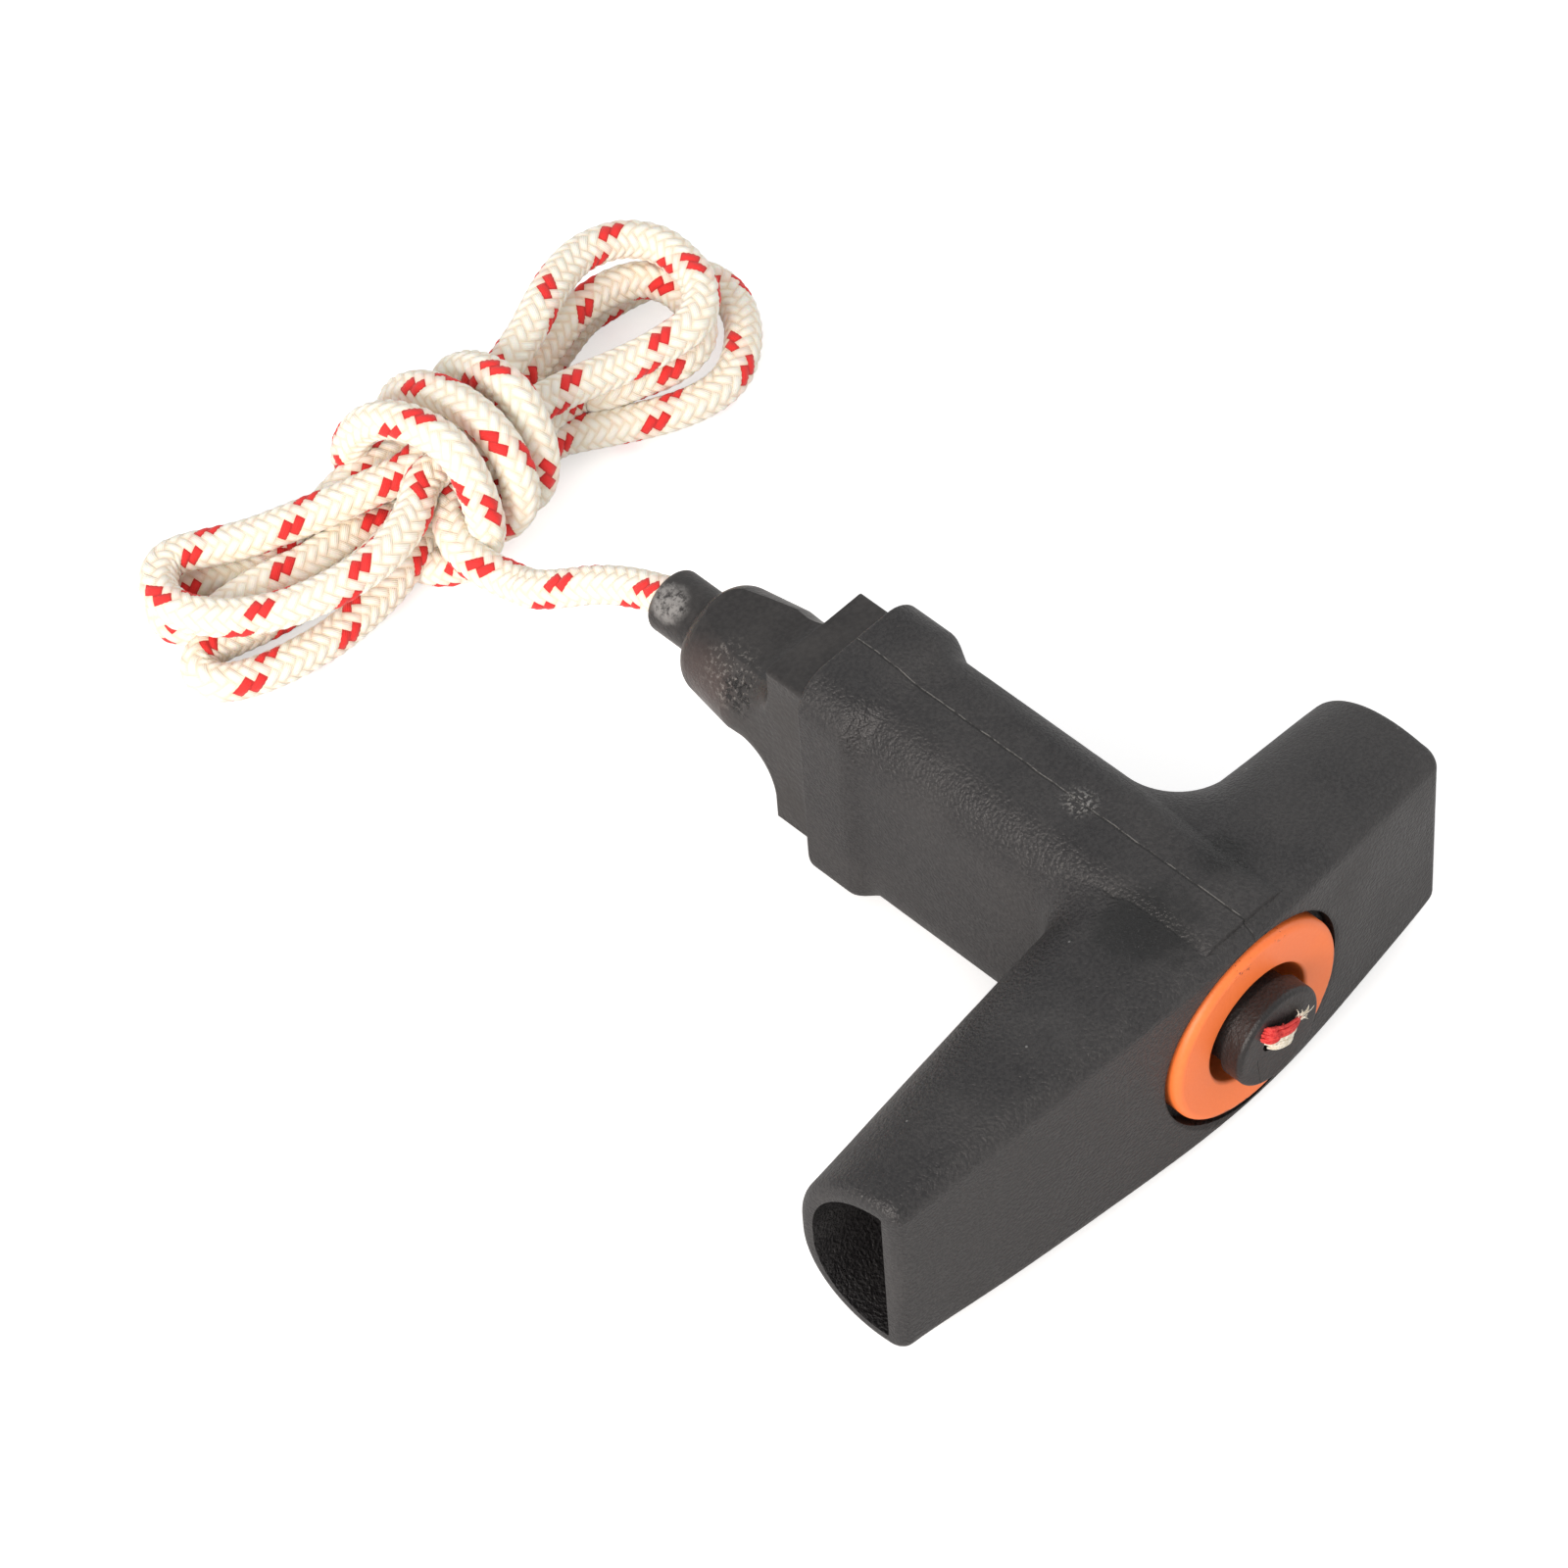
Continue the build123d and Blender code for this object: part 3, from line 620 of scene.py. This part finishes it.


# %% [markdown]
# The nozzle is rubber. Its body is stained brown on the side that rubs, scratched and pitted near
# the block, and its tip is painted pale where the rope drags round it: partly wear, partly a painted
# highlight of the glossy worn patch.

# %% Nozzle marks
def nozzle_marks(tree, colour, rough, height):
    """The stain, the pits by the block, and the tip's pale patch of wear and painted highlight."""
    stain = near(tree, (-6.0, 72.5, 1.5), 7.5, 4.0, 200)
    pits = maths(tree, "MULTIPLY", near(tree, (-6.6, 67.5, 3.5), 4.2, 2.0), speckle(tree, 1300, 0.52, 0.58))
    scratches = maths(tree, "MULTIPLY", near(tree, (-5.8, 69.5, 4.2), 6.5, 3.0),
                      speckle(tree, 1700, 0.53, 0.62, 5.0, 0.75))
    # The tip's pale patch is partly wear and partly a painted highlight of its glossy rubbed rubber.
    tip_wear_and_highlight = maths(tree, "MULTIPLY", near(tree, (-2.4, 82.3, 3.0), 4.0, 2.0), speckle(tree, 1200, 0.36, 0.56))
    colour = paint(tree, colour, stain, 0.7, (0.058, 0.038, 0.034))
    colour = paint(tree, colour, scratches, 0.45, (0.30, 0.28, 0.26))
    colour = paint(tree, colour, tip_wear_and_highlight, 0.62, (0.36, 0.35, 0.34))
    colour = blend_colour(tree, pits, colour, (0.006, 0.005, 0.005, 1))
    rough = maths(tree, "MULTIPLY_ADD", stain, -0.08, rough)
    height = maths(tree, "MULTIPLY_ADD", pits, -4.0, height)
    return colour, rough, maths(tree, "MULTIPLY_ADD", tip_wear_and_highlight, 1.5, height)


# %% [markdown]
# The sleeve is clean but for a few dark specks of dirt at its upper edge. Its lower right edge is
# painted black, painted shade of the gap at the pocket's ragged burr. The plunger's head has a fine crack below
# the knot of yarns.

# %% Sleeve and plunger marks
def sleeve_marks(tree, colour, rough, height):
    """Specks of dirt at the upper edge, and painted shade of the pocket's gap over the lower right edge."""
    dirt = maths(tree, "MULTIPLY", near(tree, (-2.2, 0.0, 11.2), 2.4, 1.0), speckle(tree, 1600, 0.58, 0.64))
    more = maths(tree, "MULTIPLY", near(tree, (3.5, 0.0, 11.6), 1.6, 0.8),
                 speckle(tree, 2100, 0.58, 0.64, 3.0, 0.5))
    colour = blend_colour(tree, maths(tree, "MAXIMUM", dirt, more), colour, (0.25, 0.035, 0.02, 1))
    # Painted shade: the flange's lower right edge is painted black with a ragged edge, standing in for the
    # shaded gap inside the pocket.
    across, _, upward = axis_place(tree)
    edge_noise = noise(tree, object_place(tree), 700, 4.0, 0.65)
    reach = maths(tree, "MULTIPLY_ADD", edge_noise, 0.9, from_axis(tree, across, upward))
    pocket_gap_shade = product(tree, ramp(tree, reach, 11.85, 11.95),
                   ramp(tree, towards_hidden_side(tree, across, upward), 4.0, 9.0))
    return blend_colour(tree, pocket_gap_shade, colour, (*gap_shade_black, 1)), rough, height


def plunger_marks(tree, colour, rough, height):
    """The crack that runs down the head."""
    across, _, upward = axis_place(tree)
    straight = maths(tree, "MULTIPLY_ADD", upward, 0.10, maths(tree, "ADD", across, 3.4))
    bend = maths(tree, "MULTIPLY_ADD", noise(tree, object_place(tree), 500, 2.0), 0.5,
                 maths(tree, "SUBTRACT", straight, 0.25))
    crack = product(tree, ramp(tree, maths(tree, "ABSOLUTE", bend), 0.13, 0.05), ramp(tree, upward, -0.2, -0.6))
    colour = blend_colour(tree, crack, colour, (0.003, 0.003, 0.003, 1))
    return colour, rough, maths(tree, "MULTIPLY_ADD", crack, -4.0, height)


# %% [markdown]
# Each CAD piece now gets its own finish. The grip, plunger and nozzle are near black but not alike:
# the nozzle's rubber is the glossiest and the grip has the deepest grain. The sleeve is clean, almost
# smooth orange plastic with no dust. The spring is bare drawn steel, so it is metal all over.

# %% Finishes of the CAD pieces
finishes = {
    "grip": plastic("grip plastic", dark=(0.012, 0.011, 0.012), light=(0.040, 0.038, 0.038),
                    roughness=0.42, rougher=0.58, grain_depth=0.00009, marks=grip_marks),
    "guide_sleeve": plastic("sleeve plastic", dark=(0.94, 0.190, 0.040), light=(0.97, 0.215, 0.050),
                            roughness=0.40, rougher=0.52, grain_depth=0.000008, dust=0,
                            marks=sleeve_marks),
    "plunger": plastic("plunger plastic", dark=(0.009, 0.008, 0.008), light=(0.020, 0.016, 0.016),
                       roughness=0.44, rougher=0.55, grain_depth=0.00003, marks=plunger_marks),
    "nozzle": plastic("nozzle rubber", dark=(0.015, 0.013, 0.013), light=(0.036, 0.033, 0.032),
                      roughness=0.32, rougher=0.50, grain_depth=0.00003, grain_scale=1800.0,
                      cloud_scale=170.0, marks=nozzle_marks),
}
spring_finish, tree, shader = new_material("spring steel", Metallic=1.0, Roughness=0.32)
steel = blend_colour(tree, noise(tree, object_place(tree), 900), (0.50, 0.50, 0.51, 1), (0.62, 0.62, 0.63, 1))
wire(tree, steel, shader.inputs["Base Color"])
finishes["damper_spring"] = spring_finish
finishes["rope_core"] = cut_finish
for name, material in finishes.items():
    cad_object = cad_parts[name]
    cad_object.data.materials.clear()
    cad_object.data.materials.append(material)
print("finished", ", ".join(finishes))

# %% [markdown]
# The rope is pulled through a slot in the plunger's head and its cut end is frayed there: red yarns
# and cream ones lie across the slot, and loose fibres stand up at one corner. Each set is one curve
# with many short splines, given its thickness and turned into a mesh. Hair would be finer, but yarns
# as thick as these have a shape of their own.

# %% Frayed rope end
slot_turn = radians(-24)
head_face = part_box("plunger")[0][1]


def on_head(along_slot, across_slot, proud):
    """A place on the plunger's head, in millimetres along and across its slot and out from its face."""
    x = along_slot * cos(slot_turn) - across_slot * sin(slot_turn)
    z = along_slot * sin(slot_turn) + across_slot * cos(slot_turn)
    return Vector((axis_x + x / 1000, head_face - proud / 1000, axis_height + z / 1000))


def yarns(name, lines, thickness, finish):
    """Short yarns as one piece; each line is points along, across and proud, with a radius share."""
    data = bpy.data.curves.new(name, "CURVE")
    data.dimensions = "3D"
    data.resolution_u = 5
    data.bevel_depth = thickness / 2000
    data.bevel_resolution = 2
    data.use_fill_caps = True
    for line in lines:
        strand = data.splines.new("NURBS")
        strand.points.add(len(line) - 1)
        for point, (along_slot, across_slot, proud, share) in zip(strand.points, line):
            point.co = (*on_head(along_slot, across_slot, proud), 1)
            point.radius = share
        strand.order_u = 3
        strand.use_endpoint_u = True
    made = bpy.data.objects.new(name, data)
    bpy.context.collection.objects.link(made)
    bpy.context.view_layer.update()
    evaluated = made.evaluated_get(bpy.context.evaluated_depsgraph_get())
    mesh = bpy.data.meshes.new_from_object(evaluated)
    bpy.data.objects.remove(made)
    piece = bpy.data.objects.new(name, mesh)
    bpy.context.collection.objects.link(piece)
    mesh.materials.clear()
    mesh.materials.append(finish)
    for face in mesh.polygons:
        face.use_smooth = True
    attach(piece, "rope")
    print(name, len(mesh.vertices), "points")


def yarn_finish(name, low, high):
    """A fibrous finish between two colours."""
    material, tree, shader = new_material(name, Roughness=0.8)
    fibres = noise(tree, object_place(tree), 2600, 4.0, 0.7)
    fibrous = blend_colour(tree, ramp(tree, fibres, 0.35, 0.65), (*low, 1), (*high, 1))
    wire(tree, fibrous, shader.inputs["Base Color"])
    wire(tree, bump(tree, fibres, 0.0001), shader.inputs["Normal"])
    return material


dice = random.Random(11)
yarn_spacing = 0.30               # mm from one yarn to the next
yarn_thickness = 0.42
fibre_thickness = 0.11


def laid(start, end, across_slot, rise, count):
    """A bundle of yarns laid side by side over the slot, each with its own small wander."""
    lines = []
    for number in range(count):
        offset = across_slot + (number - (count - 1) / 2) * yarn_spacing
        line = [(start + dice.uniform(-0.3, 0.3), offset, -0.05, 0.6)]
        for share in (0.15, 0.4, 0.65, 0.88):
            along_slot = start + (end - start) * share
            proud = 0.25 + rise * (1 - abs(2 * share - 1) ** 2) * dice.uniform(0.8, 1.1)
            line.append((along_slot, offset + dice.uniform(-0.12, 0.12), proud, dice.uniform(0.85, 1.1)))
        line.append((end + dice.uniform(-0.3, 0.3), offset + dice.uniform(-0.2, 0.2), 0.2, 0.45))
        lines.append(line)
    return lines


red_yarn = yarn_finish("red yarn", (0.50, 0.012, 0.014), (0.80, 0.07, 0.06))
cream_yarn = yarn_finish("cream yarn", (0.62, 0.54, 0.40), (0.92, 0.88, 0.78))
red_bundles = laid(-3.5, 2.2, 1.95, 0.70, 5) + laid(-3.6, -1.0, 1.6, 0.75, 5) + laid(-3.4, -2.2, 2.3, 0.5, 3)
yarns("frayed_red", red_bundles, yarn_thickness, red_yarn)
cream_bundles = laid(-2.0, 2.0, 0.25, 0.55, 6) + laid(-2.6, -0.9, 0.6, 0.4, 3)
yarns("frayed_cream", cream_bundles, yarn_thickness, cream_yarn)
loose = []
for number in range(26):
    lean = dice.uniform(-0.5, 2.3)
    reach = dice.uniform(0.7, 1.9)
    root = (dice.uniform(1.0, 2.3), dice.uniform(1.7, 2.7))
    curl = dice.uniform(-0.35, 0.35)
    middle = (root[0] + reach * 0.5 * cos(lean), root[1] + reach * 0.5 * sin(lean), 0.75, 0.9)
    tip = (root[0] + reach * cos(lean + curl), root[1] + reach * sin(lean + curl), dice.uniform(0.3, 0.9), 0.5)
    loose.append([(*root, 0.3, 1.0), middle, tip])
yarns("frayed_fibres", loose, fibre_thickness, cream_yarn)

# %% [markdown]
# The object lies on white paper. The floor is a plain pale surface that also glows a little for the
# camera alone, so it reads as white while the object's shadow stays on it. A glow that reflections
# could see too would make the sides of the grip too bright.

# %% Floor
floor_mesh = bpy.data.meshes.new("floor")
form = bmesh.new()
bmesh.ops.create_grid(form, x_segments=1, y_segments=1, size=3.0)
form.to_mesh(floor_mesh)
form.free()
floor = bpy.data.objects.new("floor", floor_mesh)
bpy.context.collection.objects.link(floor)
paper_glow = 0.52                 # what the camera sees besides the paper's own light
floor_finish, tree, shader = new_material(
    "white paper", Roughness=0.9, Base_Color=(0.80, 0.80, 0.80, 1), Emission_Color=(1, 1, 1, 1),
    Specular_IOR_Level=0.0)
rays = tree.nodes.new("ShaderNodeLightPath")
glow = maths(tree, "MULTIPLY", rays.outputs["Is Camera Ray"], paper_glow)
wire(tree, glow, shader.inputs["Emission Strength"])
floor_mesh.materials.append(floor_finish)

# %% [markdown]
# The world is white to the camera, and gives a little less light than that to the object, so that
# the lamps are left to model its form.

# %% Backdrop
bpy.context.scene.view_settings.view_transform = "Standard"
world = bpy.data.worlds.new("studio")
bpy.context.scene.world = world
world.use_nodes = True
tree = world.node_tree
background = tree.nodes["Background"]
background.inputs["Color"].default_value = (1, 1, 1, 1)
rays = tree.nodes.new("ShaderNodeLightPath")
seen = maths(tree, "MAXIMUM", rays.outputs["Is Camera Ray"], rays.outputs["Is Transmission Ray"])
ambient = 0.70                    # the world's strength for all but the camera
wire(tree, maths(tree, "MULTIPLY_ADD", seen, 1.0 - ambient, ambient), background.inputs["Strength"])
print("paper glow", paper_glow, "ambient", ambient)

# %% [markdown]
# The light is soft. A warm square lamp on the left lights the faces turned to it, and a weaker one on
# the right keeps the far end of the grip from going dull. No lamp hangs overhead, so the flat tops
# stay the darkest faces, as they are in the photograph.

# %% Lamps
def soft_lamp(name, spot, size, power, colour):
    """A square soft lamp at a spot in metres, aimed at the object."""
    data = bpy.data.lights.new(name, "AREA")
    data.size = size
    data.energy = power
    data.color = colour
    lamp = bpy.data.objects.new(name, data)
    aim = place(0, 50, 10)
    lamp.location = Vector(spot)
    lamp.rotation_euler = (aim - lamp.location).to_track_quat("-Z", "Y").to_euler()
    bpy.context.collection.objects.link(lamp)
    print("lamp", name, power, "W")


soft_lamp("key", (-1.10, -0.30, 0.58), size=0.65, power=16.0, colour=(1.0, 0.92, 0.86))
soft_lamp("right", (1.10, -0.30, 0.60), size=0.8, power=2.2, colour=(1.0, 0.98, 0.95))
